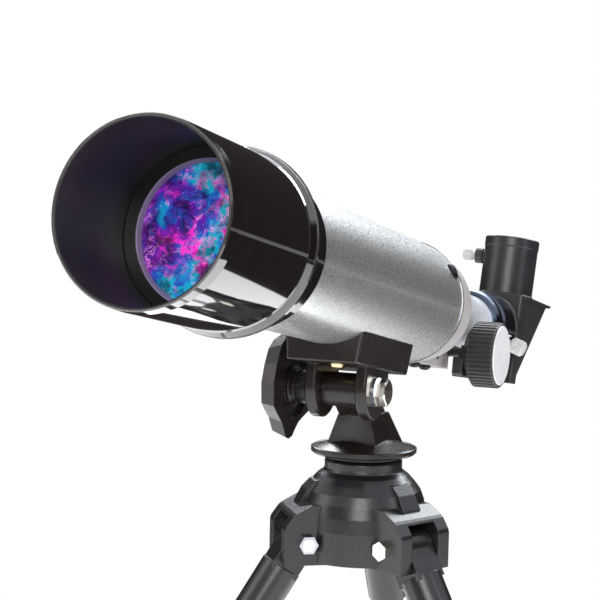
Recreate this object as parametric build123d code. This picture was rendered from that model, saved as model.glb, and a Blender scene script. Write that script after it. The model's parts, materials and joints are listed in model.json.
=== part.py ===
"""Small refracting telescope on a tabletop tripod.

Millimetres, +Z up, origin at table level on the tripod's turning axis. The telescope looks towards -Y.
Everything on the optical tube is drawn in a tube frame: X across, Y rearward along the optical axis,
Z square to it, with its zero where the optical axis crosses the tripod's axis. on_tube() then tilts it.
"""
import os
from math import cos, pi, radians, sin, sqrt, tan

from build123d import *

# ---- tube frame and mount ----
AXIS_HEIGHT = 330.0          # optical axis above the table, at the tripod's axis
TUBE_TILT = 10.72            # front of the tube raised, degrees
PIVOT_S, PIVOT_H = -15.0, -43.0   # altitude pivot in the tube frame

# ---- optical tube, radii and stations along the axis ----
SHIELD_R, SHIELD_IN_R, SHIELD_LIP_R = 32.3, 30.7, 34.0
SHIELD_FRONT, SHIELD_BACK, SHIELD_LIP = -212.3, -141.2, 5.6
CELL_FRONT, CELL_BACK = -163.4, -123.8
CELL_R, COLLAR_R = 30.45, 29.5
LENS_R, LENS_POCKET_R, LENS_CLEAR_R = 26.0, 26.1, 24.9
LENS_EDGE_FRONT, LENS_JOIN, LENS_BACK = -160.6, -158.6, -153.4
TUBE_R, TUBE_WALL, TUBE_BACK = 26.8, 0.8, 47.0
TUBE_IN_R = TUBE_R - TUBE_WALL
TRIM_BACK, TRIM_IN_R = TUBE_BACK + 1.2, TUBE_IN_R - 0.9
SLEEVE_DEPTH = 15.0          # how far the cell's sleeve reaches into the tube
BAFFLE_S, BAFFLE_R, BAFFLE_SKIRT, BAFFLE_T = -46.0, 18.0, 6.0, 0.6
TUBE_SCREW_ANGLES, TUBE_SCREW_S, TUBE_SCREW_R = (31.0, 151.0, 271.0), 40.4, 3.8
TUBE_SCREW_SHANK_R, TUBE_SCREW_TIP = 1.4, 22.5

# ---- focuser ----
BODY_R, BODY_BACK, BODY_WALL = 24.9, 74.5, 2.0
PLUG_FRONT, PLUG_WALL, GUIDE_FRONT = 24.0, 1.8, 34.0
DRAW_R, DRAW_WALL, DRAW_FRONT, DRAW_BACK = 13.4, 1.0, 32.0, 147.0
RUN_GAP = 0.05               # radial clearance of a running fit
PINION_S, PINION_H = 100.6, -17.3
MODULE, TEETH = 0.6, 10
PITCH_R = MODULE * TEETH / 2
SHAFT_R, SLEEVE_R = 1.2, 2.0
RACK_W, RACK_FRONT, RACK_BACK = 5.0, 88.0, 137.8
KNOB_R, KNOB_IN, KNOB_OUT, KNOB_RIBS = 15.1, 15.4, 30.4, 44
KNOB_CAP_R = 13.7
DRAW_COLLAR_FRONT, DRAW_COLLAR_BACK = 138.0, 165.6
COLLAR_SCREW_S, COLLAR_SCREW_ANGLE = 155.0, -22.0
NOSE_R = 12.25               # the diagonal's nose, the common 24.5 mm size
CHEEK_X0, CHEEK_X1, TONGUE_X1, TONGUE_TOP, TONGUE_LOW = -8.0, -4.2, 5.0, -19.2, -25.0
TONGUE_BACK, CHEEK_TOP = 101.5, -14.6
BRACKET_X0, BRACKET_X1, LUG_X0 = 10.2, 15.0, 12.4
TONGUE_SCREW_STATIONS, SIDE_SCREW_S = (67.5, 82.5), 85.0

# ---- star diagonal ----
THUMB_R, THUMB_HOLE_R = 1.5, 1.55      # thumbscrew shank and the hole it runs in
DIAGONAL_LEAN = 3.0          # the diagonal is turned this far about the optical axis
SOCKET_S, SOCKET_R, SOCKET_BORE_R = 198.8, 13.5, 12.25
SOCKET_BASE, SOCKET_TOP = 19.2, 49.3
EYE_SCREW_H = 39.1
PRISM_X, PRISM_WALL, PRISM_FRONT, PRISM_BOTTOM = 15.9, 2.0, 177.0, -24.8
PRISM_FOOT_H = -20.4         # below this the sloping back drops square to the axis
PRISM_FLANGE_FRONT, PRISM_FLANGE_R = 167.0, 18.0
MIRROR_T, COVER_T = 1.8, 1.6
COVER_SCREW_X, COVER_SCREW_ALONG, COVER_SCREW_R, COVER_SCREW_REACH = 11.6, 20.3, 0.7, 3.2
BOSS_R, BOSS_LENGTH = 2.4, 4.2

# ---- saddle and clamp ----
SADDLE_FRONT, SADDLE_BACK, SADDLE_TOP, SADDLE_BOTTOM = -45.0, 16.0, -21.0, -33.8
SADDLE_TOP_X, SADDLE_BOTTOM_X = 16.9, 15.2
SADDLE_SCREW_STATIONS, SADDLE_SCREW_LENGTH = (-26.6, 6.0), 10.2
EAR_IN, EAR_OUT, EAR_R, EAR_EDGE = 8.5, 13.4, 13.0, 0.7
BOLT_R, BOLT_HEAD_AF, BOLT_HEAD_T = 3.0, 10.0, 4.2
CLAMP_IN, CLAMP_OUT, CLAMP_TAPER = -22.0, -28.6, 0.89
INSERT_R, CLAMP_NECK_R = 4.5, 6.9

# ---- head and tripod, heights measured down from the optical axis ----
DISC_R, DISC_RIM_TOP, DISC_RIM_T, DISC_SLOPE = 22.2, -66.0, 2.7, 0.30
AZIMUTH_SEAT, ROOF_T, WELL_R = -62.5, 8.0, 14.5   # bolt head's seat; the hub's roof over its well
BARREL_R = 7.0
POST_TOP = -51.6
POST_TURN = -8.0             # the post's faces are turned this far from the barrel, degrees
AZIMUTH_BOLT_R, AZIMUTH_HEAD_R, AZIMUTH_WASHER_T = 3.0, 5.4, 1.2
HUB_TOP, HUB_BOTTOM, HUB_NECK_R, HUB_SKIRT_R = -70.6, -112.0, 16.3, 27.2
LEG_AZIMUTHS = (-24.0, 96.0, 216.0)
LEG_PIVOT_R, LEG_PIVOT_Z = 27.0, AXIS_HEIGHT - 104.0
LEG_SPLAY, LEG_TUBE_R, LEG_TUBE_WALL, FOOT_R = 32.0, 6.5, 0.9, 9.0
LEG_HEAD_LEN, LEG_CHEEK = 26.0, 7.5
HINGE_R, FOOT_DROP = 2.5, 5.0
LUG_X, RIB_X = 14.2, 5.0
HINGE_HEAD_AF, HINGE_HEAD_T, HINGE_NUT_T = 7.0, 3.2, 3.0
LEG_LENGTH = (LEG_PIVOT_Z - FOOT_DROP) / cos(radians(LEG_SPLAY))

BOTTOM_UP = (Align.CENTER, Align.CENTER, Align.MIN)


# ---- helpers ----
def lathe(points, axis=Axis.Y):
    """Solid of revolution. Points are (radius, place along the axis); the axis is Y or Z."""
    outline = Polyline(*points, close=True)
    if axis == Axis.Z:
        outline = Plane.XZ * outline
    return revolve(make_face(outline), axis)


def lathe_x(points):
    """Solid of revolution about X. Points are (radius, place along X)."""
    return revolve(make_face(Polyline(*[(x, r) for r, x in points], close=True)), Axis.X)


def tube_y(outer, inner, start, end):
    return lathe([(inner, start), (outer, start), (outer, end), (inner, end)])


def rod_y(radius, start, end, x=0.0, z=0.0):
    return Pos(x, start, z) * Rot(X=-90) * Cylinder(radius, end - start, align=BOTTOM_UP)


def rod_x(radius, start, end, y=0.0, z=0.0):
    return Pos(start, y, z) * Rot(Y=90) * Cylinder(radius, end - start, align=BOTTOM_UP)


def rod_z(radius, start, end, x=0.0, y=0.0):
    return Pos(x, y, start) * Cylinder(radius, end - start, align=BOTTOM_UP)


def block(x0, x1, y0, y1, z0, z1):
    return Pos(x0, y0, z0) * Box(x1 - x0, y1 - y0, z1 - z0, align=(Align.MIN,) * 3)


def plate_x(points, x0, x1):
    """A flat plate from x0 to x1, its outline given as (y, z) points."""
    face = make_face(Plane.YZ * Polyline(*points, close=True))
    return Pos(x0, 0, 0) * extrude(face, x1 - x0, dir=(1, 0, 0))


def hexagon_x(across_flats, x0, x1):
    face = Plane.YZ * RegularPolygon(across_flats / 2, 6, major_radius=False)
    return Pos(x0, 0, 0) * extrude(face, x1 - x0, dir=(1, 0, 0))


def on_tube(part):
    return Pos(0, 0, AXIS_HEIGHT) * Rot(X=-TUBE_TILT) * part


def on_diagonal(part):
    return on_tube(Rot(Y=DIAGONAL_LEAN) * part)


def at_pivot(part):
    return on_tube(Pos(0, PIVOT_S, PIVOT_H) * Rot(X=TUBE_TILT) * part)


def radial(part, station, angle):
    """Turn a part drawn along +X from the axis to an angle about the optical axis, at a station."""
    return Pos(0, station, 0) * Rot(Y=-angle) * part


def save(part, name):
    part.label = name
    export_step(part, f"parts/{name}.step")


# ---- objective ----
def dew_shield():
    lip = SHIELD_BACK - SHIELD_LIP
    rim = 0.5
    return lathe([
        (SHIELD_IN_R, SHIELD_FRONT + rim), (SHIELD_IN_R + rim, SHIELD_FRONT),
        (SHIELD_R - 0.3 - rim, SHIELD_FRONT), (SHIELD_R - 0.3, SHIELD_FRONT + rim),
        (SHIELD_R, SHIELD_FRONT + 6), (SHIELD_R, lip), (SHIELD_LIP_R - 0.3, lip + 2.8),
        (SHIELD_LIP_R - 0.45, lip + 3.1), (SHIELD_LIP_R, lip + 3.4),
        (SHIELD_LIP_R, SHIELD_BACK - 0.6), (SHIELD_LIP_R - 0.6, SHIELD_BACK), (SHIELD_IN_R, SHIELD_BACK)])


def objective_cell():
    step = SHIELD_BACK + 0.2
    return lathe([
        (LENS_POCKET_R, CELL_FRONT), (CELL_R, CELL_FRONT), (CELL_R, step), (COLLAR_R, step + 0.8),
        (COLLAR_R, CELL_BACK - 0.6), (COLLAR_R - 0.6, CELL_BACK), (TUBE_IN_R, CELL_BACK),
        (TUBE_IN_R, CELL_BACK + SLEEVE_DEPTH), (TUBE_IN_R - 1.4, CELL_BACK + SLEEVE_DEPTH),
        (TUBE_IN_R - 1.8, LENS_BACK), (LENS_POCKET_R, LENS_BACK)])


def lens_face(edge, bulge):
    """Arc from the axis to the lens's edge, centred on the axis, so that it turns into a sphere."""
    radius = (LENS_R ** 2 + bulge ** 2) / (2 * abs(bulge))
    drop = radius - sqrt(radius ** 2 - (LENS_R / 2) ** 2)
    middle = edge + bulge - drop * (1 if bulge > 0 else -1)
    return ThreePointArc((0, edge + bulge), (LENS_R / 2, middle), (LENS_R, edge))


def lens(front_bulge, front, back_bulge, back):
    """A lens between two spherical faces, each given by its edge station and its bulge rearward."""
    rim = Line((LENS_R, front), (LENS_R, back))
    axis = Line((0, back + back_bulge), (0, front + front_bulge))
    outline = [lens_face(front, front_bulge), rim, lens_face(back, back_bulge), axis]
    return revolve(make_face(outline), Axis.Y)


def objective_crown():
    return lens(-1.6, LENS_EDGE_FRONT, 2.1, LENS_JOIN)


def objective_flint():
    return lens(2.1, LENS_JOIN + 0.1, -0.4, LENS_BACK)


def lens_retaining_ring():
    front = CELL_FRONT + 0.5
    seat = LENS_EDGE_FRONT - 0.25
    return lathe([(LENS_POCKET_R, front), (LENS_POCKET_R, seat), (LENS_CLEAR_R, seat),
                  (LENS_CLEAR_R, seat - 0.5),
                  (LENS_CLEAR_R + 0.7, front)])


# ---- main tube and its screws ----
def tube_screws():
    """Three cross-headed screws that hold the focuser body in the tube."""
    seat = TUBE_R - 0.4
    screws = []
    for angle in TUBE_SCREW_ANGLES:
        head = lathe([(0, seat), (TUBE_SCREW_R, seat), (TUBE_SCREW_R, seat + 0.8),
                      (TUBE_SCREW_R - 1.0, seat + 1.8), (0, seat + 2.2)])
        slots = (block(-2.2, 2.2, seat + 1.2, seat + 3, -0.4, 0.4)
                 + block(-0.4, 0.4, seat + 1.2, seat + 3, -2.2, 2.2))
        screw = head + rod_y(TUBE_SCREW_SHANK_R, TUBE_SCREW_TIP, seat) - slots
        screws.append(radial(Rot(Z=-90) * screw, TUBE_SCREW_S, angle))
    return Compound(screws)


def saddle_screws():
    """Two round-headed brass screws up through the saddle into the tube."""
    head = lathe([(0, -1.9), (1.6, -1.75), (3.2, -1.1), (4.0, 0), (0, 0)], Axis.Z)
    slot = block(-5, 5, -0.45, 0.45, -2, -1.0)
    screw = rod_z(2.0, 0, SADDLE_SCREW_LENGTH) + head - slot
    return Compound([Pos(0, s, SADDLE_BOTTOM) * screw for s in SADDLE_SCREW_STATIONS])


def main_tube():
    wall = tube_y(TUBE_R, TUBE_IN_R, CELL_BACK, TUBE_BACK)
    return wall - tube_screws() - saddle_screws()


def rear_trim_ring():
    return lathe([(TRIM_IN_R, TUBE_BACK), (TUBE_R + 0.3, TUBE_BACK), (TUBE_R + 0.45, TUBE_BACK + 0.6),
                  (TUBE_R + 0.1, TRIM_BACK), (TRIM_IN_R, TRIM_BACK)])


def light_baffle():
    skirt_back, inner = BAFFLE_S + BAFFLE_SKIRT, TUBE_IN_R - BAFFLE_T
    return lathe([(TUBE_IN_R, BAFFLE_S), (TUBE_IN_R, skirt_back), (inner, skirt_back),
                  (inner, BAFFLE_S + BAFFLE_T), (BAFFLE_R, BAFFLE_S + BAFFLE_T), (BAFFLE_R, BAFFLE_S)])


# ---- focuser ----
def rack_slot(start, end):
    return block(-RACK_W / 2 - 0.2, RACK_W / 2 + 0.2, start, end, PINION_H + 1.9, -DRAW_R + 1)


def focuser_body():
    """End cap with an inner guide sleeve, and a tongue below that carries the pinion."""
    bore, guide = DRAW_R + RUN_GAP, DRAW_R + 2.2
    plug = tube_y(TUBE_IN_R, TUBE_IN_R - PLUG_WALL, PLUG_FRONT, TUBE_BACK)
    neck = tube_y(TRIM_IN_R, TUBE_IN_R - PLUG_WALL - 0.8, TUBE_BACK, TRIM_BACK)
    shoulder = BODY_BACK - 8
    shell = lathe([(BODY_R, TRIM_BACK), (BODY_R - 0.3, shoulder), (BODY_R - 1.4, BODY_BACK - 3),
                   (BODY_R - 4.4, BODY_BACK), (bore, BODY_BACK), (bore, GUIDE_FRONT), (guide, GUIDE_FRONT),
                   (guide, BODY_BACK - 3), (BODY_R - 2.4 - BODY_WALL, BODY_BACK - 3.4),
                   (BODY_R - BODY_WALL, shoulder), (BODY_R - BODY_WALL, TRIM_BACK)])
    start, end = BODY_BACK - 12, TONGUE_BACK
    tongue = block(CHEEK_X0, TONGUE_X1, start, end, TONGUE_LOW, TONGUE_TOP)
    cheek = block(CHEEK_X0, CHEEK_X1, BODY_BACK - 1.5, end + 3.5, TONGUE_LOW, CHEEK_TOP)
    seat = block(3.4, TONGUE_X1, PINION_S - 4, end, TONGUE_TOP - 1, PINION_H)
    body = plug + neck + shell + tongue + cheek + seat
    body -= rack_slot(33, 110) + rod_x(PITCH_R + 0.85, -2.9, 2.9, PINION_S, PINION_H)
    body -= rod_x(SLEEVE_R, 3, 6, PINION_S, PINION_H)
    body -= rod_x(SHAFT_R + RUN_GAP, CHEEK_X0 - 1, CHEEK_X1 + 1, PINION_S, PINION_H)
    return body - tube_screws() - tongue_screws()


def drawtube():
    wall = tube_y(DRAW_R, DRAW_R - DRAW_WALL, DRAW_FRONT, DRAW_BACK)
    return wall - block(-RACK_W / 2, RACK_W / 2, RACK_FRONT, RACK_BACK, -DRAW_R - 1, -DRAW_R + 2)


def drawtube_rack():
    """Toothed strip along the bottom of the drawtube; a gap sits over the pinion's top tooth."""
    pitch, line = pi * MODULE, PINION_H + PITCH_R
    root, tip = line + 0.55, line - 0.42
    count = int((RACK_BACK - RACK_FRONT) / pitch) - 1
    first = PINION_S - pitch * (int((PINION_S - RACK_FRONT) / pitch) - 0.5)
    half_root = pitch / 4 - 0.06 + 0.55 * tan(radians(20))
    half_tip = pitch / 4 - 0.06 - 0.42 * tan(radians(20))
    outline = [(RACK_FRONT, root)]
    for n in range(count):
        middle = first + n * pitch
        if middle + half_root < RACK_BACK:
            outline += [(middle - half_root, root), (middle - half_tip, tip),
                        (middle + half_tip, tip), (middle + half_root, root)]
    outline += [(RACK_BACK, root), (RACK_BACK, -DRAW_R + DRAW_WALL), (RACK_FRONT, -DRAW_R + DRAW_WALL)]
    return plate_x(outline, -RACK_W / 2, RACK_W / 2)


def drawtube_collar():
    """Collar on the end of the drawtube: it holds the diagonal's nose."""
    ring = lathe([
        (DRAW_R, DRAW_COLLAR_FRONT), (14.2, DRAW_COLLAR_FRONT), (15.6, DRAW_COLLAR_FRONT + 1.0),
        (16.6, DRAW_COLLAR_FRONT + 3.0), (16.6, DRAW_COLLAR_FRONT + 8), (16.1, DRAW_COLLAR_FRONT + 8.6),
        (16.1, DRAW_COLLAR_FRONT + 10.2), (17.2, DRAW_COLLAR_FRONT + 11), (17.6, DRAW_COLLAR_BACK - 0.8),
        (17.0, DRAW_COLLAR_BACK), (NOSE_R + 0.05, DRAW_COLLAR_BACK), (NOSE_R + 0.05, DRAW_BACK),
        (DRAW_R, DRAW_BACK)])
    boss = radial(rod_x(3.6, 15, 19.2), COLLAR_SCREW_S, COLLAR_SCREW_ANGLE)
    hole = radial(rod_x(THUMB_HOLE_R, 11, 20), COLLAR_SCREW_S, COLLAR_SCREW_ANGLE)
    return ring + boss - hole


def thumbscrew(tip, shoulder, end, head_r, ribs=18):
    """Knurled head and plain screw along +X."""
    outline = []
    for n in range(2 * ribs):
        radius = head_r if n % 2 else head_r - 0.45
        outline.append((radius * cos(pi * n / ribs), radius * sin(pi * n / ribs)))
    head = plate_x(outline, shoulder, end) & lathe_x([
        (0, shoulder), (head_r * 0.7, shoulder), (head_r, shoulder + 1.2), (head_r, end - 1.0),
        (head_r * 0.8, end), (0, end)])
    return head + rod_x(THUMB_R, tip, shoulder)


def collar_thumbscrew():
    return radial(thumbscrew(12.6, 20.3, 27.6, 3.8), COLLAR_SCREW_S, COLLAR_SCREW_ANGLE)


def pinion_shaft():
    return rod_x(SHAFT_R, CHEEK_X0 - 1.6, KNOB_OUT - 3, PINION_S, PINION_H)


def pinion_gear():
    """Ten-tooth pinion with straight flanks, one tooth pointing at the rack."""
    half = pi * MODULE / 4 - 0.06
    sides = [(PITCH_R - 0.62, half + 0.08), (PITCH_R, half), (PITCH_R + 0.42, half - 0.24)]
    outline = []
    for n in range(TEETH):
        middle = pi / 2 + 2 * pi * n / TEETH
        for radius, width in sides:
            outline.append((radius, middle - width / radius))
        for radius, width in reversed(sides):
            outline.append((radius, middle + width / radius))
    points = [(radius * cos(angle), radius * sin(angle)) for radius, angle in outline]
    gear = plate_x(points, -2.4, 2.4) - rod_x(SHAFT_R, -3, 3)
    return Pos(0, PINION_S, PINION_H) * gear


def pinion_bracket():
    """Outer bearing of the pinion shaft: a block on a sleeve that is pressed into the tongue."""
    base = block(BRACKET_X0, BRACKET_X1, 92, 109, -28, -19.6)
    lug = block(LUG_X0, BRACKET_X1, 96, 106, -20, -14)
    sleeve = rod_x(SLEEVE_R, 3.4, BRACKET_X1, PINION_S, PINION_H)
    bracket = chamfer(base.edges().filter_by(Axis.X), 0.8) + lug + sleeve
    return bracket - rod_x(SHAFT_R + RUN_GAP, 3, BRACKET_X1 + 1, PINION_S, PINION_H)


def tongue_screws():
    """Two dome-headed screws up into the tongue and a grub screw in its side."""
    head = lathe([(0, -2.4), (1.6, -2.2), (2.7, -1.2), (2.9, 0), (0, 0)], Axis.Z)
    screw = head + rod_z(1.3, 0, 3.5) - block(-4, 4, -0.35, 0.35, -3, -1.6)
    grub = rod_x(1.0, TONGUE_X1 - 3, TONGUE_X1 + 0.4, SIDE_SCREW_S, TONGUE_TOP - 1.5)
    return Compound([Pos(0, s, TONGUE_LOW) * screw for s in TONGUE_SCREW_STATIONS] + [grub])


def shaft_clip():
    """Retaining ring on the far end of the pinion shaft."""
    ring = rod_x(2.6, CHEEK_X0 - 1.0, CHEEK_X0 - 0.3) - rod_x(SHAFT_R, CHEEK_X0 - 2, CHEEK_X0)
    return Pos(0, PINION_S, PINION_H) * (ring - block(CHEEK_X0 - 2, CHEEK_X0, -0.6, 0.6, 0, 5))


def focus_knob():
    outline = []
    for n in range(2 * KNOB_RIBS):
        radius = KNOB_R if n % 2 else KNOB_R - 0.6
        for side in (-0.32, 0.32):
            angle = pi * (n + side) / KNOB_RIBS
            outline.append((radius * cos(angle), radius * sin(angle)))
    ribs = plate_x(outline, KNOB_IN, KNOB_OUT)
    turned = lathe_x([(SHAFT_R, KNOB_IN), (10.4, KNOB_IN), (KNOB_R, KNOB_IN + 3.4), (KNOB_R, KNOB_OUT - 0.9),
                      (KNOB_R - 0.9, KNOB_OUT), (KNOB_CAP_R, KNOB_OUT), (KNOB_CAP_R, KNOB_OUT - 0.9),
                      (SHAFT_R, KNOB_OUT - 0.9)])
    knob = (ribs & turned) - rod_x(SHAFT_R, KNOB_IN - 1, KNOB_OUT - 3)
    return Pos(0, PINION_S, PINION_H) * knob


def focus_knob_cap():
    return Pos(0, PINION_S, PINION_H) * lathe_x([
        (0, KNOB_OUT - 0.9), (KNOB_CAP_R, KNOB_OUT - 0.9), (KNOB_CAP_R, KNOB_OUT - 0.1),
        (KNOB_CAP_R - 0.5, KNOB_OUT + 0.3), (0, KNOB_OUT + 0.3)])


# ---- star diagonal ----
def diagonal_body():
    """Plastic elbow: round front flange, side walls and an open sloping back."""
    slope = SOCKET_S + (MIRROR_T + COVER_T) * sqrt(2)
    top, low, foot = SOCKET_BASE, PRISM_BOTTOM, slope + PRISM_FOOT_H
    outer = plate_x([(PRISM_FRONT, low), (foot, low), (foot, PRISM_FOOT_H), (slope + top, top),
                     (PRISM_FRONT, top)], -PRISM_X, PRISM_X)
    outer = fillet(outer.edges().filter_by(Axis.Z).sort_by(Axis.Y)[:2], 1.6)
    front, roof, floor = PRISM_FRONT + PRISM_WALL, top - PRISM_WALL, PRISM_FOOT_H
    inner = plate_x([(front, floor), (slope + floor + 9, floor), (slope + roof + 9, roof), (front, roof)],
                    -PRISM_X + PRISM_WALL, PRISM_X - PRISM_WALL)
    flange = lathe([(0, PRISM_FLANGE_FRONT), (PRISM_FLANGE_R - 1, PRISM_FLANGE_FRONT),
                    (PRISM_FLANGE_R, PRISM_FLANGE_FRONT + 1), (PRISM_FLANGE_R, PRISM_FLANGE_FRONT + 4),
                    (PRISM_FLANGE_R - 2, PRISM_FRONT + 1), (0, PRISM_FRONT + 1)])
    lip_x, lip_back = PRISM_X + 0.9, slope + top + 4.5
    lip = plate_x([(PRISM_FRONT + 3, top - 0.6), (PRISM_FRONT + 6, top - 1.4), (lip_back - 3, top - 1.4),
                   (lip_back, top - 0.7), (lip_back, top), (PRISM_FRONT + 3, top)], -lip_x, lip_x)
    lip -= block(-13, 13, slope + top - 6, lip_back + 1, top - 3, top + 1)
    body = outer - inner + flange + lip
    for boss in at_cover_corners(rod_z(BOSS_R, 0, BOSS_LENGTH)):
        body += boss
    body -= rod_y(NOSE_R, PRISM_FLANGE_FRONT - 1, PRISM_FLANGE_FRONT + 7)
    body -= rod_y(NOSE_R - 1.2, PRISM_FLANGE_FRONT, PRISM_FRONT + 5)
    return body - rod_z(SOCKET_BORE_R, top - 5, top + 5, y=SOCKET_S) - diagonal_cover() - cover_screws()


def diagonal_nose():
    return tube_y(NOSE_R, NOSE_R - 1.0, 150.4, PRISM_FLANGE_FRONT + 7)


def sloped(part):
    """Place a part drawn flat, Z along the mirror's normal into the light, at the mirror's plane."""
    return Pos(0, SOCKET_S, 0) * Rot(X=45) * part


def diagonal_cover():
    """Sloping back plate. It sits between the side walls and carries the mirror."""
    half_x = PRISM_X - PRISM_WALL
    plate = Pos(0, 0, -MIRROR_T - COVER_T) * Box(2 * half_x, 54, COVER_T, align=BOTTOM_UP)
    room = block(-half_x, half_x, PRISM_FRONT + PRISM_WALL, 260, PRISM_FOOT_H, SOCKET_BASE - PRISM_WALL)
    return (sloped(plate) & room) - cover_screws()


def diagonal_mirror():
    return sloped(Pos(0, 0, -MIRROR_T) * Box(25, 34, MIRROR_T, align=BOTTOM_UP))


def at_cover_corners(part):
    """Four copies of a part near the cover's corners, Z along the cover's normal, zero at its inner face."""
    return [sloped(Pos(x, along, -MIRROR_T) * part) for x in (-COVER_SCREW_X, COVER_SCREW_X)
            for along in (-COVER_SCREW_ALONG, COVER_SCREW_ALONG)]


def cover_screws():
    """Four small screws through the cover from behind into the body's corner bosses."""
    head = rod_z(1.9, -COVER_T - 1.0, -COVER_T) - block(-3, 3, -0.25, 0.25, -COVER_T - 2, -COVER_T - 0.5)
    return Compound(at_cover_corners(head + rod_z(COVER_SCREW_R, -COVER_T, COVER_SCREW_REACH)))


def eyepiece_socket():
    flange_r = SOCKET_R + 0.8
    wall = lathe([(SOCKET_BORE_R, SOCKET_BASE), (flange_r, SOCKET_BASE), (flange_r, SOCKET_BASE + 0.9),
                  (SOCKET_R, SOCKET_BASE + 1.5), (SOCKET_R, SOCKET_TOP - 5.0),
                  (SOCKET_R + 0.25, SOCKET_TOP - 4.7), (SOCKET_R + 0.25, SOCKET_TOP - 0.5),
                  (SOCKET_R - 0.25, SOCKET_TOP),
                  (SOCKET_BORE_R + 0.5, SOCKET_TOP), (SOCKET_BORE_R, SOCKET_TOP - 0.5)], Axis.Z)
    nut_pad = rod_x(3.0, -SOCKET_R - 0.9, -SOCKET_R + 1, z=EYE_SCREW_H)
    hole = rod_x(THUMB_HOLE_R, -SOCKET_R - 3, -SOCKET_R + 3, z=EYE_SCREW_H)
    bore = rod_z(SOCKET_BORE_R, SOCKET_BASE - 1, SOCKET_TOP + 1)
    return Pos(0, SOCKET_S, 0) * (wall + nut_pad - bore - hole)


def eyepiece_screw_nut():
    """Ribbed black collar nut that the eyepiece thumbscrew runs in."""
    ribs = 12
    outline = []
    for n in range(2 * ribs):
        radius = 3.9 if n % 2 else 3.5
        outline.append((radius * cos(pi * n / ribs), radius * sin(pi * n / ribs)))
    nut = plate_x(outline, -SOCKET_R - 4.6, -SOCKET_R - 0.9) - rod_x(THUMB_HOLE_R, -SOCKET_R - 6, -SOCKET_R)
    return Pos(0, SOCKET_S, EYE_SCREW_H) * nut


def eyepiece_thumbscrew():
    screw = Rot(Z=180) * thumbscrew(SOCKET_BORE_R + 0.35, SOCKET_R + 5.8, SOCKET_R + 11.4, 2.8, 14)
    waist = Rot(Z=180) * rod_x(2.0, SOCKET_R + 4.9, SOCKET_R + 6)
    return Pos(0, SOCKET_S, EYE_SCREW_H) * (screw + waist)


# ---- saddle, altitude clamp ----
def ear(inner, outer):
    """Clevis ear hanging from the saddle, rounded below, drawn about the pivot."""
    raise_arc = 1.2
    plate = block(inner, outer, -EAR_R, EAR_R, raise_arc, SADDLE_BOTTOM - PIVOT_H + 4)
    whole = plate + rod_x(EAR_R, inner, outer, z=raise_arc)
    return chamfer(whole.edges().group_by(Axis.X)[0] + whole.edges().group_by(Axis.X)[-1], EAR_EDGE)


def saddle():
    """Cradle under the tube with two ears for the altitude bolt."""
    section = Polyline((-SADDLE_TOP_X, SADDLE_TOP), (SADDLE_TOP_X, SADDLE_TOP),
                       (SADDLE_BOTTOM_X, SADDLE_BOTTOM), (-SADDLE_BOTTOM_X, SADDLE_BOTTOM), close=True)
    cradle = extrude(make_face(Plane.XZ * section), SADDLE_BACK - SADDLE_FRONT, dir=(0, 1, 0))
    cradle = Pos(0, SADDLE_FRONT, 0) * cradle
    corners = cradle.edges().filter_by(lambda edge: abs(edge.tangent_at(0.5).Z) > 0.9)
    cradle = fillet(corners, 1.3)
    cradle = chamfer(cradle.faces().sort_by(Axis.Z)[0].edges(), 0.5)
    ears = Pos(0, PIVOT_S, PIVOT_H) * (ear(EAR_IN, EAR_OUT) + ear(-EAR_OUT, -EAR_IN))
    bolt_hole = rod_x(BOLT_R, -20, 20, PIVOT_S, PIVOT_H)
    seat = rod_y(TUBE_R + 0.02, SADDLE_FRONT - 1, SADDLE_BACK + 1)
    return cradle + ears - seat - bolt_hole - saddle_screws()


def altitude_bolt():
    head_in = EAR_OUT + 1.0
    head = hexagon_x(BOLT_HEAD_AF, head_in, head_in + BOLT_HEAD_T)
    crown = lathe_x([(0, head_in), (BOLT_HEAD_AF * 0.6, head_in), (BOLT_HEAD_AF * 0.6, head_in + 3.4),
                     (BOLT_HEAD_AF * 0.47, head_in + BOLT_HEAD_T), (0, head_in + BOLT_HEAD_T)])
    return (Rot(X=12) * head & crown) + rod_x(BOLT_R, CLAMP_OUT + 3.5, head_in)


def bolt_washer():
    return rod_x(6.2, EAR_OUT, EAR_OUT + 1.0) - rod_x(BOLT_R, EAR_OUT - 1, EAR_OUT + 2)


def clamp_knob():
    """Lobed clamp knob on the altitude bolt, narrower towards its outer face."""
    rim = ((66, 24.0), (50, 24.2), (42, 23.6), (30, 23.2), (9, 23.6), (-14, 23.5), (-27, 20.9), (-43, 19.4),
           (-64, 22.3), (-72, 22.2), (-82, 20.6), (-89, 18.2), (-103, 15.9), (-123, 16.5), (-138, 18.7),
           (-152, 21.4), (-168, 22.0), (178, 21.0), (166, 18.4), (148, 16.2), (130, 16.0), (112, 18.2),
           (100, 21.6), (88, 23.6))
    outline = [(-r * cos(radians(a)), r * sin(radians(a))) for a, r in rim]
    inner = Pos(CLAMP_IN, 0, 0) * make_face(Plane.YZ * Polyline(*outline, close=True))
    narrow = [(y * CLAMP_TAPER, z * CLAMP_TAPER) for y, z in outline]
    outer = Pos(CLAMP_OUT, 0, 0) * make_face(Plane.YZ * Polyline(*narrow, close=True))
    grip = loft([outer, inner], ruled=True)
    dish = rod_x(13.5, CLAMP_IN - 1.6, CLAMP_IN + 1) - rod_x(8.6, CLAMP_IN - 2, CLAMP_IN + 1)
    neck = lathe_x([(0, CLAMP_IN - 2), (8.6, CLAMP_IN - 2), (8.6, CLAMP_IN), (CLAMP_NECK_R, CLAMP_IN + 1.5),
                    (CLAMP_NECK_R, -EAR_OUT - 0.3), (0, -EAR_OUT - 0.3)])
    bore = rod_x(INSERT_R, CLAMP_OUT + 2, -EAR_OUT + 1)
    return grip - dish + neck - bore


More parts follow.
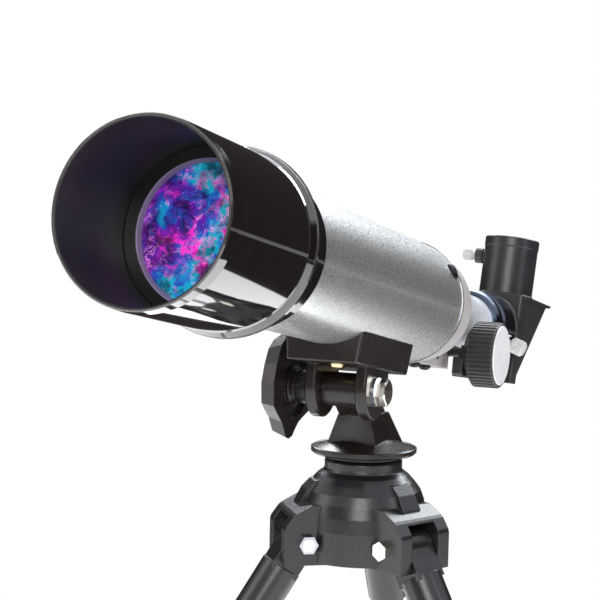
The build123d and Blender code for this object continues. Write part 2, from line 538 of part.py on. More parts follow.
def clamp_insert():
    """Threaded metal insert moulded into the clamp knob."""
    return rod_x(INSERT_R, CLAMP_OUT + 2, -EAR_OUT - 0.3) - rod_x(BOLT_R + RUN_GAP, CLAMP_OUT + 3, 0)


# ---- pan head ----
def barrel_and_neck():
    """Barrel between the ears and the web that joins it to the post; drawn about the pivot."""
    x = EAR_IN - 0.15
    web = plate_x([(4.0, -5.2), (13.4, -13.3), (27.0, -13.3), (27.0, -11.2), (4.9, 4.6), (0, 0)],
                  1 - x, x - 1)
    return rod_x(BARREL_R, -x, x) + web


def post_section(width, depth, prow, x, y, z):
    """Level section through the post: a rectangle whose front comes to a blunt prow."""
    corners = [(-width / 2, -depth / 2), (0, -depth / 2 - prow), (width / 2, -depth / 2),
               (width / 2, depth / 2), (-width / 2, depth / 2)]
    return Pos(x, y, z) * Rot(Z=POST_TURN) * make_face(Polyline(*corners, close=True))


def tilt_head():
    """Turntable disc, faceted post and altitude barrel, moulded in one piece."""
    disc_top = DISC_RIM_TOP + DISC_SLOPE * (DISC_R - 0.9)
    rim_low = DISC_RIM_TOP - DISC_RIM_T
    disc = lathe([
        (0, rim_low - 1.6), (HUB_NECK_R - 0.4, rim_low - 1.6), (HUB_NECK_R - 0.4, rim_low),
        (DISC_R - 1.0, rim_low), (DISC_R, rim_low + 0.9), (DISC_R, DISC_RIM_TOP - 0.2),
        (DISC_R - 0.9, DISC_RIM_TOP + 0.3), (DISC_R - 1.9, DISC_RIM_TOP), (0, disc_top)], Axis.Z)
    foot = post_section(24.2, 24.6, 0.4, -0.5, 2.8, DISC_RIM_TOP - 0.5)
    crest = post_section(14.8, 16.8, 1.4, 0.1, -1.4, POST_TOP)
    post = loft([foot, crest], ruled=True)
    pivot = (cos(radians(TUBE_TILT)) * PIVOT_S + sin(radians(TUBE_TILT)) * PIVOT_H,
             -sin(radians(TUBE_TILT)) * PIVOT_S + cos(radians(TUBE_TILT)) * PIVOT_H)
    barrel = Pos(0, pivot[0], pivot[1]) * barrel_and_neck()
    bore = rod_x(BOLT_R + RUN_GAP, -20, 20, pivot[0], pivot[1])
    head = disc + post + barrel - bore
    head -= rod_z(AZIMUTH_BOLT_R, -80, -40) + rod_z(AZIMUTH_HEAD_R, AZIMUTH_SEAT, -40)
    return Pos(0, 0, AXIS_HEIGHT) * head


# ---- tripod ----
def tripod_hub():
    """Bell-shaped hub with three pairs of lugs for the legs, hollow below."""
    skin = lathe([
        (0, HUB_TOP), (HUB_NECK_R - 1.2, HUB_TOP), (HUB_NECK_R, HUB_TOP - 1.2), (HUB_NECK_R, HUB_TOP - 4.2),
        (HUB_NECK_R + 0.5, HUB_TOP - 5.2), (HUB_NECK_R + 2.8, HUB_TOP - 6.8), (HUB_NECK_R + 5.4, HUB_TOP - 9.6),
        (HUB_SKIRT_R - 2.9, HUB_TOP - 13.0), (HUB_SKIRT_R - 1.4, HUB_TOP - 17.0),
        (HUB_SKIRT_R - 0.4, HUB_TOP - 22.0),
        (HUB_SKIRT_R, HUB_TOP - 28.0), (HUB_SKIRT_R, HUB_BOTTOM), (0, HUB_BOTTOM)],
        Axis.Z)
    hub = Pos(0, 0, AXIS_HEIGHT) * skin
    for azimuth in LEG_AZIMUTHS:
        place = Rot(Z=azimuth - 90) * Pos(0, LEG_PIVOT_R, LEG_PIVOT_Z)
        lug = plate_x([(-12, -9), (9.5, -9), (9.5, 6.5), (5.5, 12), (-2, 16), (-12, 16)], -LUG_X, LUG_X)
        rib = plate_x([(-12, 9), (1.5, 9), (1.5, 15), (-1.6, 20.8), (-5.2, 24.4), (-12, 26)], -RIB_X, RIB_X)
        slot = block(-LEG_CHEEK - 0.3, LEG_CHEEK + 0.3, -9.6, 12, -12, 10.4)
        hub += place * (chamfer(lug.edges().filter_by(Axis.X).sort_by(Axis.Z)[-4:-2], 0.8) + rib)
        hub -= place * (slot + rod_x(HINGE_R, -20, 20))
    well = rod_z(WELL_R, AXIS_HEIGHT + HUB_BOTTOM - 1, AXIS_HEIGHT + HUB_TOP - ROOF_T)
    bolt_hole = rod_z(AZIMUTH_BOLT_R + 0.3, AXIS_HEIGHT + HUB_BOTTOM, AXIS_HEIGHT + HUB_TOP + 1)
    return hub - well - bolt_hole


def azimuth_bolt():
    """Pan head screw through the turntable, pulled down by a nut under the hub's roof."""
    z = AXIS_HEIGHT
    screw = rod_z(AZIMUTH_BOLT_R, z + HUB_TOP - 16, z + AZIMUTH_SEAT)
    screw += rod_z(AZIMUTH_HEAD_R - 0.5, z + AZIMUTH_SEAT, z + AZIMUTH_SEAT + 2.7)
    return screw - block(-6, 6, -0.5, 0.5, z + AZIMUTH_SEAT + 1.7, z + AZIMUTH_SEAT + 3.5)


def azimuth_nut():
    top = AXIS_HEIGHT + HUB_TOP - ROOF_T - AZIMUTH_WASHER_T
    nut = Pos(0, 0, top - 5) * extrude(RegularPolygon(5.0, 6, major_radius=False), 5)
    return nut - rod_z(AZIMUTH_BOLT_R, top - 6, top + 1)


def azimuth_washer():
    top = AXIS_HEIGHT + HUB_TOP - ROOF_T
    return rod_z(8.0, top - AZIMUTH_WASHER_T, top) - rod_z(AZIMUTH_BOLT_R + 0.1, top - 2, top + 1)


def on_leg(part, azimuth):
    """Place a part drawn at the leg's pivot with the leg pointing straight down."""
    splayed = Rot(X=LEG_SPLAY) * part
    return Rot(Z=azimuth - 90) * Pos(0, LEG_PIVOT_R, LEG_PIVOT_Z) * splayed


def leg_head():
    eye = rod_x(7.0, -LEG_CHEEK, LEG_CHEEK)
    shank = block(-LEG_CHEEK, LEG_CHEEK, -6.2, 6.2, -16, 0)
    socket = rod_z(8.6, -16 - LEG_HEAD_LEN, -14)
    head = eye + shank + socket - rod_z(LEG_TUBE_R, -50, -20)
    return head - rod_x(HINGE_R + RUN_GAP, -20, 20)


def leg_tube():
    return rod_z(LEG_TUBE_R, -LEG_LENGTH + 6, -20) - rod_z(LEG_TUBE_R - LEG_TUBE_WALL, -LEG_LENGTH + 4, -22)


def leg_foot(azimuth):
    """Rubber foot, cut level with the table."""
    sleeve = (rod_z(FOOT_R - 1, -LEG_LENGTH + 2, -LEG_LENGTH + 26)
              + rod_z(FOOT_R, -LEG_LENGTH - 9, -LEG_LENGTH + 8))
    sleeve -= rod_z(LEG_TUBE_R, -LEG_LENGTH + 6, -LEG_LENGTH + 40)
    return on_leg(sleeve, azimuth) - block(-400, 400, -400, 400, -60, 0)


def hinge_bolts():
    bolts = []
    for azimuth in LEG_AZIMUTHS:
        bolt = (rod_x(HINGE_R, -LUG_X - HINGE_NUT_T - 0.2, LUG_X)
                + Rot(X=30) * hexagon_x(HINGE_HEAD_AF, LUG_X, LUG_X + HINGE_HEAD_T))
        bolts.append(Rot(Z=azimuth - 90) * Pos(0, LEG_PIVOT_R, LEG_PIVOT_Z) * bolt)
    return Compound(bolts)


def hinge_nuts():
    nuts = []
    for azimuth in LEG_AZIMUTHS:
        nut = hexagon_x(HINGE_HEAD_AF, -LUG_X - HINGE_NUT_T, -LUG_X) - rod_x(HINGE_R, -20, 0)
        nuts.append(Rot(Z=azimuth - 90) * Pos(0, LEG_PIVOT_R, LEG_PIVOT_Z) * nut)
    return Compound(nuts)


def build():
    os.makedirs("parts", exist_ok=True)
    for maker in (dew_shield, objective_cell, objective_crown, objective_flint, lens_retaining_ring,
                  main_tube, rear_trim_ring, light_baffle, tube_screws, focuser_body, pinion_bracket,
                  tongue_screws, saddle, saddle_screws, drawtube, drawtube_rack, drawtube_collar,
                  collar_thumbscrew, pinion_shaft, pinion_gear, shaft_clip, focus_knob, focus_knob_cap):
        save(on_tube(maker()), maker.__name__)
    for maker in (diagonal_body, diagonal_nose, diagonal_cover, diagonal_mirror, cover_screws,
                  eyepiece_socket, eyepiece_screw_nut, eyepiece_thumbscrew):
        save(on_diagonal(maker()), maker.__name__)
    for maker in (altitude_bolt, bolt_washer, clamp_knob, clamp_insert):
        save(at_pivot(maker()), maker.__name__)
    for maker in (tilt_head, tripod_hub, azimuth_bolt, azimuth_nut, azimuth_washer, hinge_bolts, hinge_nuts):
        save(maker(), maker.__name__)
    for number, azimuth in enumerate(LEG_AZIMUTHS, start=1):
        save(on_leg(leg_head(), azimuth), f"leg_head_{number}")
        save(on_leg(leg_tube(), azimuth), f"leg_tube_{number}")
        save(leg_foot(azimuth), f"leg_foot_{number}")


build()
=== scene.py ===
"""Looks of the small refracting telescope: its materials, the table under it, the light and the camera.

Metres, in the CAD's own frame. In the tube frame X runs across the tube, Y rearward along the optical axis
and Z square to both.
"""
import json
from math import radians

import bpy
from mathutils import Matrix, Vector

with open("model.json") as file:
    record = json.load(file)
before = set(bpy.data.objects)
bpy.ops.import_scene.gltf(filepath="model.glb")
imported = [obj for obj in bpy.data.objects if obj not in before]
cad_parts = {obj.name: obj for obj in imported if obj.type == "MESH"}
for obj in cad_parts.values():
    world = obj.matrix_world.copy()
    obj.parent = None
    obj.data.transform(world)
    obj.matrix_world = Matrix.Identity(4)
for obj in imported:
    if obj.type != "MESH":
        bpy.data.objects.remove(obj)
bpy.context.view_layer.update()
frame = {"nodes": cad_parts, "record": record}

AXIS_POINT = (0.0, 0.0, 0.330)      # where the optical axis crosses the tripod's axis
TUBE_TILT = radians(10.72)
SHIELD_INNER_R = 0.0312             # between the dew shield's inner and outer skins
SHIELD_SOFT_EDGE = 0.0002           # how far the lining and the gloss run into each other


# ---- node helpers ----
MIX_FIRST, MIX_SECOND, MIX_RESULT = 6, 7, 2     # the Mix node's colour sockets
EDGE_FLAT, EDGE_SHARP = 0.97, 0.80              # cosine between the true and the rounded normal
EDGE_SAMPLES = 6


class Graph:
    """A material's node tree, with short calls for the nodes used here."""

    def __init__(self, name):
        self.material = bpy.data.materials.new(name)
        self.material.use_nodes = True
        self.tree = self.material.node_tree
        self.tree.nodes.clear()
        self.output = self.add("ShaderNodeOutputMaterial")
        self.shader = self.add("ShaderNodeBsdfPrincipled")
        self.link(self.shader.outputs[0], self.output.inputs[0])

    def add(self, kind, **settings):
        node = self.tree.nodes.new(kind)
        for key, value in settings.items():
            setattr(node, key, value)
        return node

    def link(self, source, target):
        self.tree.links.new(source, target)

    def put(self, value, socket):
        """Link an output, or set a constant on the socket."""
        if isinstance(value, bpy.types.NodeSocket):
            self.link(value, socket)
        else:
            socket.default_value = value

    def set(self, **values):
        """Set the shader's sockets by name; underscores stand for spaces."""
        for key, value in values.items():
            self.put(value, self.shader.inputs[key.replace("_", " ")])

    def place(self):
        """Coordinates in the CAD's frame, in metres."""
        return self.add("ShaderNodeTexCoord").outputs["Object"]

    def tube_place(self):
        """Coordinates in the tube frame: X across, Y along the axis, Z square to it."""
        moved = self.add("ShaderNodeVectorMath", operation="SUBTRACT")
        self.link(self.place(), moved.inputs[0])
        moved.inputs[1].default_value = AXIS_POINT
        turned = self.add("ShaderNodeVectorRotate", rotation_type="X_AXIS")
        self.link(moved.outputs[0], turned.inputs["Vector"])
        turned.inputs["Angle"].default_value = TUBE_TILT
        return turned.outputs[0]

    def stretch(self, vector, scale):
        """Scale each axis; below 1 the pattern grows longer along that axis."""
        node = self.add("ShaderNodeVectorMath", operation="MULTIPLY")
        self.link(vector, node.inputs[0])
        node.inputs[1].default_value = scale
        return node.outputs[0]

    def split(self, vector):
        node = self.add("ShaderNodeSeparateXYZ")
        self.link(vector, node.inputs[0])
        return node.outputs

    def math(self, operation, *values):
        node = self.add("ShaderNodeMath", operation=operation)
        for index, value in enumerate(values):
            self.put(value, node.inputs[index])
        return node.outputs[0]

    def square_sum(self, first, second):
        """The sum of both squares: the squared distance from an axis."""
        return self.math("ADD", self.math("MULTIPLY", first, first), self.math("MULTIPLY", second, second))

    def noise(self, vector, scale, detail, roughness=0.5, distortion=0.0):
        """Noise, with the scale in features per metre."""
        node = self.add("ShaderNodeTexNoise")
        self.link(vector, node.inputs["Vector"])
        self.put(scale, node.inputs["Scale"])
        self.put(detail, node.inputs["Detail"])
        self.put(roughness, node.inputs["Roughness"])
        self.put(distortion, node.inputs["Distortion"])
        return node

    def cells(self, vector, scale):
        """Voronoi cells, with the scale in cells per metre."""
        node = self.add("ShaderNodeTexVoronoi")
        self.link(vector, node.inputs["Vector"])
        node.inputs["Scale"].default_value = scale
        return node

    def remap(self, value, low, high, to_low, to_high, smooth=False):
        """Map the range from low to high to the other range, held at its ends."""
        node = self.add("ShaderNodeMapRange")
        if smooth:
            node.interpolation_type = "SMOOTHSTEP"
        for socket, item in zip(("Value", "From Min", "From Max", "To Min", "To Max"),
                                (value, low, high, to_low, to_high)):
            self.put(item, node.inputs[socket])
        return node.outputs[0]

    def ramp(self, value, stops):
        """Colour ramp through (position, colour) stops."""
        node = self.add("ShaderNodeValToRGB")
        self.link(value, node.inputs[0])
        elements = node.color_ramp.elements
        while len(elements) < len(stops):
            elements.new(0.5)
        for element, (position, colour) in zip(elements, stops):
            element.position = position
            element.color = (*colour, 1.0)
        return node.outputs[0]

    def mix(self, factor, first, second):
        node = self.add("ShaderNodeMix", data_type="RGBA")
        self.put(factor, node.inputs["Factor"])
        for socket, value in ((node.inputs[MIX_FIRST], first), (node.inputs[MIX_SECOND], second)):
            self.put((*value, 1.0) if isinstance(value, tuple) else value, socket)
        return node.outputs[MIX_RESULT]

    def bump(self, height, strength, distance, normal=None):
        """Surface relief from a height, with the distance in metres."""
        node = self.add("ShaderNodeBump")
        self.put(height, node.inputs["Height"])
        node.inputs["Strength"].default_value = strength
        node.inputs["Distance"].default_value = distance
        if normal is not None:
            self.link(normal, node.inputs["Normal"])
        return node.outputs[0]

    def edges(self, radius=0.0006):
        """Two outputs: 1 near sharp edges and 0 on the open surface, and the rounded normal."""
        rounded = self.add("ShaderNodeBevel", samples=EDGE_SAMPLES)
        rounded.inputs["Radius"].default_value = radius
        true = self.add("ShaderNodeNewGeometry").outputs["Normal"]
        dot = self.add("ShaderNodeVectorMath", operation="DOT_PRODUCT")
        self.link(rounded.outputs[0], dot.inputs[0])
        self.link(true, dot.inputs[1])
        return self.remap(dot.outputs["Value"], EDGE_FLAT, EDGE_SHARP, 0.0, 1.0), rounded.outputs[0]


class WorldGraph(Graph):
    """The same short calls for the surround's node tree."""

    def __init__(self, name):
        world = bpy.data.worlds.new(name)
        bpy.context.scene.world = world
        world.use_nodes = True
        self.tree = world.node_tree
        self.tree.nodes.clear()
        self.output = self.add("ShaderNodeOutputWorld")
        self.shader = self.add("ShaderNodeBackground")
        self.link(self.shader.outputs[0], self.output.inputs[0])


def colour(*levels):
    """Linear colour from 0-255 display levels, by the sRGB curve."""
    return tuple(((level / 255 + 0.055) / 1.055) ** 2.4 if level > 10 else level / 3294.6
                 for level in levels)


# ---- materials ----
PLASTIC_GRAIN = 2600.0                  # per metre
EDGE_HIGHLIGHT_GAIN, EDGE_HIGHLIGHT_LIFT = 3.2, 0.012       # how much paler the painted highlight on edges is than the plastic
DUST = colour(90, 86, 84)
# the second shield colour is a painted highlight for the shield's edges
SHIELD_BLACK, SHIELD_EDGE_HIGHLIGHT = colour(16, 13, 13), colour(150, 144, 142)
LINING_DARK, LINING_LIGHT = colour(27, 24, 24), colour(41, 36, 34)
LINING_ROUGHNESS = 0.42                 # added to the gloss inside the dew shield
FLAKES_PER_METRE = 5200.0
SILVER = ((0.1, colour(184, 185, 185)), (0.5, colour(218, 219, 219)), (0.95, colour(240, 241, 241)))
RUBBER_CLEAN, RUBBER_DUSTY = colour(26, 26, 27), colour(64, 62, 60)
LENS_GROUND = ((0.34, colour(6, 116, 134)), (0.46, colour(14, 176, 210)), (0.54, colour(30, 84, 190)),
               (0.62, colour(72, 30, 160)), (0.74, colour(160, 30, 186)))
LENS_PINK, LENS_VEIN = colour(248, 40, 206), colour(255, 158, 238)
LENS_DEEP, LENS_STAR = colour(14, 8, 52), colour(240, 232, 252)
LENS_LEAN_UP, LENS_LEAN_ACROSS = 3.0, -6.0          # teal on one side of the ground, violet on the other
LENS_WARP = (0.014, 0.014, 0.014)                   # how far the clouds are pulled about
LENS_PINK_CORE, LENS_PINK_RIM = 0.00012, 0.00052    # squared distances from the axis
# painted glow: the lens gives off light of its own, though it is no lamp
LENS_PAINTED_GLOW = 0.26


def moulded_plastic(name, dark, light, roughness, edge_highlight_amount=0.5, specular=0.5):
    """Injection-moulded plastic: fine grain, faint mottling and a painted highlight: paler sharp edges."""
    g = Graph(name)
    place = g.place()
    mottle = g.noise(place, 38.0, 5.0, 0.6).outputs[0]
    fine = g.noise(place, PLASTIC_GRAIN, 3.0, 0.6).outputs[0]
    edge, rounded = g.edges()
    body = g.mix(g.remap(mottle, 0.35, 0.7, 0.0, 1.0), dark, light)
    highlight_break = g.remap(g.noise(place, 420.0, 4.0, 0.7).outputs[0], 0.35, 0.75, 0.15, 1.0)
    # painted highlight: sharp edges are drawn paler than the plastic, broken up by noise
    edge_highlight = tuple(min(1.0, value * EDGE_HIGHLIGHT_GAIN + EDGE_HIGHLIGHT_LIFT) for value in light)
    g.set(Base_Color=g.mix(g.math("MULTIPLY", edge, g.math("MULTIPLY", highlight_break, edge_highlight_amount)), body, edge_highlight),
          Roughness=g.remap(fine, 0.3, 0.7, roughness - 0.06, roughness + 0.1),
          Specular_IOR_Level=specular,
          Normal=g.bump(fine, 0.25, 0.00004, rounded))
    return g.material


def gloss_plastic(name, base, roughness=0.05):
    """Polished plastic with faint smears and dust."""
    g = Graph(name)
    place = g.place()
    smear = g.noise(g.stretch(place, (1.0, 0.25, 1.0)), 60.0, 6.0, 0.65).outputs[0]
    dust = g.remap(g.noise(place, 1500.0, 2.0, 0.5).outputs[0], 0.68, 0.78, 0.0, 0.25)
    g.set(Base_Color=g.mix(dust, base, DUST),
          Roughness=g.remap(smear, 0.35, 0.75, roughness, roughness + 0.07),
          Coat_Weight=0.6, Coat_Roughness=0.03,
          Normal=g.bump(smear, 0.04, 0.0002))
    return g.material


def shield_material():
    """Dew shield: gloss black outside, satin black inside, with a painted highlight: a pale line on its
    edges.
    """
    g = Graph("shield_gloss")
    tube = g.tube_place()
    across, _, up = g.split(tube)
    radius = g.math("SQRT", g.square_sum(across, up))
    inside = g.remap(radius, SHIELD_INNER_R, SHIELD_INNER_R - SHIELD_SOFT_EDGE, 0.0, 1.0)
    smear = g.noise(g.stretch(tube, (1.0, 0.3, 1.0)), 55.0, 6.0, 0.65).outputs[0]
    grain = g.noise(tube, 2400.0, 3.0, 0.6).outputs[0]
    flow = g.noise(tube, 26.0, 3.0, 0.6).outputs[0]
    lining = g.mix(g.remap(flow, 0.35, 0.65, 0.0, 1.0), LINING_DARK, LINING_LIGHT)
    height = g.math("ADD", g.math("MULTIPLY", grain, inside), g.math("MULTIPLY", smear, 0.15))
    edge, rounded = g.edges(0.0004)
    # painted highlight: a pale line along the sharp edges, broken up by noise
    highlight_break = g.remap(g.noise(tube, 380.0, 4.0, 0.7).outputs[0], 0.3, 0.7, 0.35, 1.0)
    body = g.mix(inside, SHIELD_BLACK, lining)
    g.set(Base_Color=g.mix(g.math("MULTIPLY", edge, highlight_break), body, SHIELD_EDGE_HIGHLIGHT),
          Roughness=g.math("ADD", g.remap(smear, 0.35, 0.75, 0.04, 0.09),
                           g.math("MULTIPLY", inside, LINING_ROUGHNESS)),
          Coat_Weight=g.math("SUBTRACT", 1.0, inside), Coat_IOR=1.65, Coat_Roughness=0.03, IOR=1.4,
          Normal=g.bump(height, 0.25, 0.00005, rounded))
    return g.material


def flake_paint():
    """Silver metallic paint: fine flakes of differing tilt under a clear coat."""
    g = Graph("tube_silver")
    place = g.place()
    flake = g.cells(place, FLAKES_PER_METRE)
    sparkle = g.split(flake.outputs["Color"])[0]
    broad = g.noise(place, 900.0, 2.0, 0.5).outputs[0]
    tone = g.math("ADD", g.math("MULTIPLY", sparkle, 0.7), g.math("MULTIPLY", broad, 0.3))
    g.set(Base_Color=g.ramp(tone, SILVER),
          Metallic=0.90, Roughness=g.remap(sparkle, 0.0, 1.0, 0.22, 0.38),
          Coat_Weight=0.35, Coat_Roughness=0.06,
          Normal=g.bump(tone, 0.35, 0.00003))
    return g.material


def polished_metal(name, tint, roughness, along=(1.0, 0.05, 1.0), tube=False, brush=0.08):
    """Plated or turned metal with fine drawn lines along one direction."""
    g = Graph(name)
    place = g.tube_place() if tube else g.place()
    lines = g.noise(g.stretch(place, along), 2200.0, 3.0, 0.6).outputs[0]
    haze = g.noise(place, 90.0, 4.0, 0.6).outputs[0]
    darker = tuple(value * 0.82 for value in tint)
    g.set(Base_Color=g.mix(g.remap(haze, 0.35, 0.7, 0.0, 1.0), tint, darker), Metallic=1.0,
          Roughness=g.math("ADD", g.remap(lines, 0.3, 0.7, roughness, roughness + brush),
                           g.remap(haze, 0.4, 0.8, 0.0, 0.05)),
          Normal=g.bump(lines, 0.05, 0.00003))
    return g.material


def satin_metal(name, tint, roughness=0.34):
    """Pale satin metal: mostly milky and a little metallic, with a fine blasted grain; on the drawtube the
    milky pale is a painted reflection.
    """
    g = Graph(name)
    place = g.place()
    grain = g.noise(place, 2600.0, 3.0, 0.6).outputs[0]
    haze = g.noise(place, 120.0, 4.0, 0.6).outputs[0]
    darker = tuple(value * 0.9 for value in tint)
    g.set(Base_Color=g.mix(g.remap(haze, 0.4, 0.7, 0.0, 1.0), tint, darker), Metallic=0.15,
          Roughness=g.remap(grain, 0.3, 0.7, roughness, roughness + 0.1),
          Normal=g.bump(grain, 0.1, 0.00003))
    return g.material


def rubber():
    """Matt black rubber with pale dust in patches."""
    g = Graph("foot_rubber")
    place = g.place()
    fine = g.noise(place, 1800.0, 4.0, 0.7).outputs[0]
    dust = g.remap(g.noise(place, 160.0, 5.0, 0.7).outputs[0], 0.5, 0.8, 0.0, 0.5)
    g.set(Base_Color=g.mix(dust, RUBBER_CLEAN, RUBBER_DUSTY),
          Roughness=g.remap(fine, 0.3, 0.7, 0.7, 0.9), Normal=g.bump(fine, 0.4, 0.00008))
    return g.material


def lens_material():
    """Objective lens: clouds of teal, violet and magenta with fine bright veins and specks, and a painted
    glow: it emits its own colours.
    """
    g = Graph("lens_glass")
    tube = g.tube_place()
    across, _, up = g.split(tube)
    warp = g.noise(tube, 60.0, 4.0, 0.6)
    offset = g.add("ShaderNodeVectorMath", operation="MULTIPLY_ADD")
    g.link(warp.outputs["Color"], offset.inputs[0])
    offset.inputs[1].default_value = LENS_WARP
    g.link(tube, offset.inputs[2])
    warped = offset.outputs[0]
    broad = g.noise(warped, 70.0, 8.0, 0.62, 0.4).outputs[0]
    lean = g.math("ADD", g.math("MULTIPLY", up, LENS_LEAN_UP), g.math("MULTIPLY", across, LENS_LEAN_ACROSS))
    ground = g.ramp(g.math("ADD", broad, lean), LENS_GROUND)
    clump = g.remap(g.noise(warped, 130.0, 7.0, 0.68).outputs[0], 0.50, 0.62, 0.0, 1.0, smooth=True)
    middle = g.remap(g.square_sum(across, up), LENS_PINK_CORE, LENS_PINK_RIM, 1.0, 0.25)
    pink = g.mix(g.math("MULTIPLY", clump, middle), ground, LENS_PINK)
    fold = g.math("ABSOLUTE", g.math("SUBTRACT", g.noise(warped, 150.0, 8.0, 0.62, 0.3).outputs[0], 0.5))
    vein = g.math("MULTIPLY", g.remap(fold, 0.0, 0.022, 1.0, 0.0),
                  g.remap(g.noise(tube, 95.0, 3.0).outputs[0], 0.46, 0.60, 0.0, 1.0))
    laced = g.mix(vein, pink, LENS_VEIN)
    shade = g.remap(g.noise(warped, 100.0, 7.0, 0.7).outputs[0], 0.36, 0.56, 0.10, 1.0, smooth=True)
    deep = g.mix(shade, LENS_DEEP, laced)
    stars = g.remap(g.cells(tube, 900.0).outputs["Distance"], 0.0, 0.17, 1.0, 0.0)
    some = g.remap(g.noise(tube, 260.0, 2.0).outputs[0], 0.46, 0.62, 0.0, 1.0)
    lit = g.mix(g.math("MULTIPLY", stars, some), deep, LENS_STAR)
    # painted glow: the lens colours are also emitted
    g.set(Base_Color=lit, Emission_Color=lit, Emission_Strength=LENS_PAINTED_GLOW, Roughness=0.04, IOR=1.5)
    return g.material


MATERIALS = {   # keyed by the record's material slots; ring_black is drawn lavender grey, a painted reflection of the violet of the lens
    "shield_gloss": shield_material(),
    "cell_black": gloss_plastic("cell_black", colour(12, 11, 12)),
    "lens_glass": lens_material(),
    "ring_black": gloss_plastic("ring_black", colour(132, 116, 152), 0.22),
    "tube_silver": flake_paint(),
    "trim_dark": polished_metal("trim_dark", colour(120, 120, 124), 0.12),
    "baffle_black": moulded_plastic("baffle_black", colour(12, 12, 12), colour(18, 18, 18), 0.8),
    "focuser_pale": moulded_plastic("focuser_pale", colour(158, 153, 153), colour(170, 165, 164), 0.34,
                                    edge_highlight_amount=0.0),
    "mount_black": moulded_plastic("mount_black", colour(23, 19, 17), colour(34, 29, 27), 0.26, edge_highlight_amount=1.0,
                                   specular=0.36),
    "knob_black": moulded_plastic("knob_black", colour(30, 27, 27), colour(42, 38, 36), 0.34),
    "cap_silver": satin_metal("cap_silver", colour(216, 216, 217)),
    # painted reflection: the chrome drawtube is drawn milky near-white in place of the bright reflection it
    # shows
    "drawtube_chrome": satin_metal("drawtube_chrome", colour(202, 205, 210), 0.18),
    # painted reflection: the black collar is drawn as blue-grey metal
    "collar_black": polished_metal("collar_black", colour(84, 92, 107), 0.12, tube=True),
    "thumbscrew_white": moulded_plastic("thumbscrew_white", colour(172, 172, 170), colour(186, 186, 183),
                                        0.42, edge_highlight_amount=0.0),
    "diagonal_black": moulded_plastic("diagonal_black", colour(28, 28, 31), colour(38, 38, 41), 0.32,
                                      specular=0.4),
    "mirror_silver": polished_metal("mirror_silver", colour(240, 241, 242), 0.02, brush=0.01),
    "steel": polished_metal("steel", colour(176, 178, 182), 0.2, (0.05, 1.0, 1.0)),
    "bolt_chrome": polished_metal("bolt_chrome", colour(236, 230, 220), 0.08),
    "screw_black": polished_metal("screw_black", colour(44, 44, 46), 0.3),
    "brass": polished_metal("brass", colour(238, 208, 160), 0.18, (1.0, 1.0, 0.1)),
    "hub_black": moulded_plastic("hub_black", colour(17, 17, 20), colour(26, 27, 31), 0.28),
    "leg_aluminium": polished_metal("leg_aluminium", colour(150, 152, 156), 0.26, (1.0, 1.0, 0.05)),
    "foot_rubber": rubber(),
}


def dress_cad_nodes():
    """Give every CAD node the material of its record slot."""
    for part in frame["record"]["subparts"]:
        node = frame["nodes"][part["node"]]
        for slot in node.material_slots:
            slot.material = MATERIALS[part["material_slot"]]


# ---- stage ----
FLOOR_BEHIND, FLOOR_SIDE = 0.41, 1.6    # the table's far edge gives the sharp line in the reflections
FLOOR_GLOW = 1.2
FLOOR_PAPER = colour(200, 200, 200), colour(206, 206, 206)
FLOOR_LIGHT = (1.0, 1.0, 1.0), (0.98, 0.98, 0.98)

# The surround that reflections see. Heights and depths are components of the direction looked in.
SKY_LOW, SKY_HIGH = 0.31, 0.41          # the sky starts and is full
SKY_TINT = (1.12, 1.15, 1.2)
FRONT_START, FRONT_FULL = 0.1, -0.7     # the room turns from dark behind to grey in front
ROOM_BEHIND, ROOM_FRONT = (0.034, 0.028, 0.027), (0.17, 0.17, 0.175)
LINE_Z, LINE_CORE, LINE_EDGE = -0.165, 0.012, 0.018     # centre and half heights of the low light line
LINE_TINT = (0.42, 0.41, 0.41)
BACKGROUND = (1.0, 1.0, 1.0)            # what the camera sees directly

LIGHT_TARGET = (0.0, -0.05, 0.32)
LIGHTS = (                              # name, place, width, height, watts, tint
    ("front_key", (0.45, -1.6, 0.85), 0.8, 0.8, 19.0, (1.0, 0.98, 0.96)),
    ("left_fill", (-1.3, -0.7, 0.6), 0.7, 1.0, 6.0, (1.0, 0.96, 0.93)),
    ("right_strip", (1.25, -0.15, 0.62), 0.22, 1.1, 2.6, (0.94, 0.97, 1.0)),
    ("rear_sky", (-0.1, 1.0, 1.02), 1.7, 0.36, 24.0, (0.93, 0.97, 1.0)),
)


def floor():
    """Large pale light-table floor: it glows evenly, so it stays as white as the surround."""
    side, front, back = FLOOR_SIDE, -FLOOR_SIDE, FLOOR_BEHIND
    mesh = bpy.data.meshes.new("floor")
    mesh.from_pydata([(-side, front, 0), (side, front, 0), (side, back, 0), (-side, back, 0)],
                     [], [(0, 1, 2, 3)])
    piece = bpy.data.objects.new("floor", mesh)
    bpy.context.collection.objects.link(piece)
    g = Graph("floor_paper")
    tone = g.noise(g.place(), 900.0, 3.0).outputs[0]
    g.set(Base_Color=g.mix(tone, *FLOOR_PAPER), Roughness=0.9,
          Emission_Color=g.mix(tone, *FLOOR_LIGHT), Emission_Strength=FLOOR_GLOW,
          Normal=g.bump(tone, 0.05, 0.0001))
    mesh.materials.append(g.material)


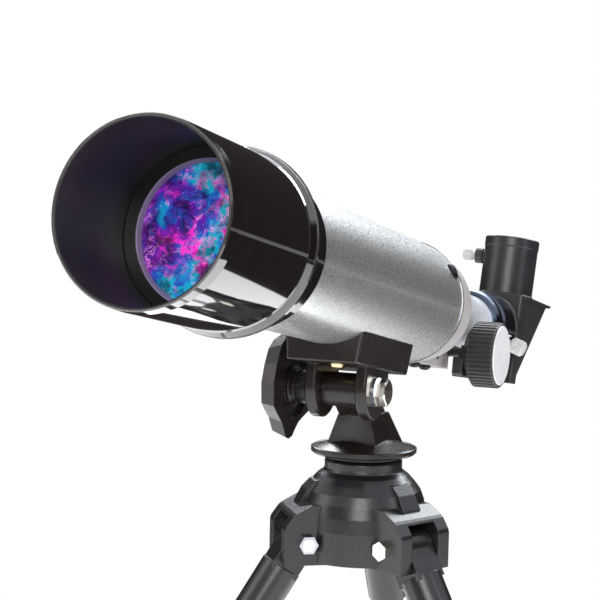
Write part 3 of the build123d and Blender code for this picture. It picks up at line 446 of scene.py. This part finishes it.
def area_light(name, place, width, height, power, tint):
    """Rectangular light turned to the telescope, itself unseen by the camera."""
    data = bpy.data.lights.new(name, "AREA")
    data.shape, data.size, data.size_y, data.energy, data.color = "RECTANGLE", width, height, power, tint
    lamp = bpy.data.objects.new(name, data)
    lamp.location = place
    lamp.rotation_euler = (Vector(LIGHT_TARGET) - Vector(place)).to_track_quat("-Z", "Y").to_euler()
    lamp.visible_camera = False
    bpy.context.collection.objects.link(lamp)


def studio():
    """White surround. Reflections see a bright sky, a dark room behind and a thin light line low down."""
    g = WorldGraph("studio")
    _, y, z = g.split(g.add("ShaderNodeTexCoord").outputs["Generated"])
    sky = g.remap(z, SKY_LOW, SKY_HIGH, 0.0, 1.0, smooth=True)
    front = g.remap(y, FRONT_START, FRONT_FULL, 0.0, 1.0, smooth=True)
    line = g.math("MULTIPLY", g.remap(z, LINE_Z - LINE_EDGE, LINE_Z - LINE_CORE, 0.0, 1.0),
                  g.remap(z, LINE_Z + LINE_CORE, LINE_Z + LINE_EDGE, 1.0, 0.0))
    room = g.mix(front, ROOM_BEHIND, ROOM_FRONT)
    room = g.mix(line, room, LINE_TINT)
    seen = g.mix(sky, room, SKY_TINT)
    direct = g.add("ShaderNodeLightPath").outputs["Is Camera Ray"]
    g.link(g.mix(direct, seen, BACKGROUND), g.shader.inputs["Color"])
    g.shader.inputs["Strength"].default_value = 1.0
    for light in LIGHTS:
        area_light(*light)


# ---- camera ----
CAMERA_AZIMUTH, CAMERA_ELEVATION, CAMERA_ROLL = radians(22.36), radians(5.21), radians(1.24)
CAMERA_PLACE = (0.28188, -0.75910, 0.39867)
CAMERA_LENS, CAMERA_SENSOR = 117.0, 36.0        # millimetres
CLIP_START = 0.01


def camera():
    """The photograph's camera, fitted to the tube's rims and silhouettes."""
    data = bpy.data.cameras.new("camera")
    data.lens, data.sensor_width, data.clip_start = CAMERA_LENS, CAMERA_SENSOR, CLIP_START
    piece = bpy.data.objects.new("camera", data)
    turn = (Matrix.Rotation(CAMERA_AZIMUTH, 4, "Z") @ Matrix.Rotation(radians(90) - CAMERA_ELEVATION, 4, "X")
            @ Matrix.Rotation(CAMERA_ROLL, 4, "Z"))
    piece.matrix_world = Matrix.Translation(CAMERA_PLACE) @ turn
    bpy.context.collection.objects.link(piece)
    bpy.context.scene.camera = piece


bpy.context.scene.view_settings.view_transform = "Standard"
dress_cad_nodes()
floor()
camera()
studio()
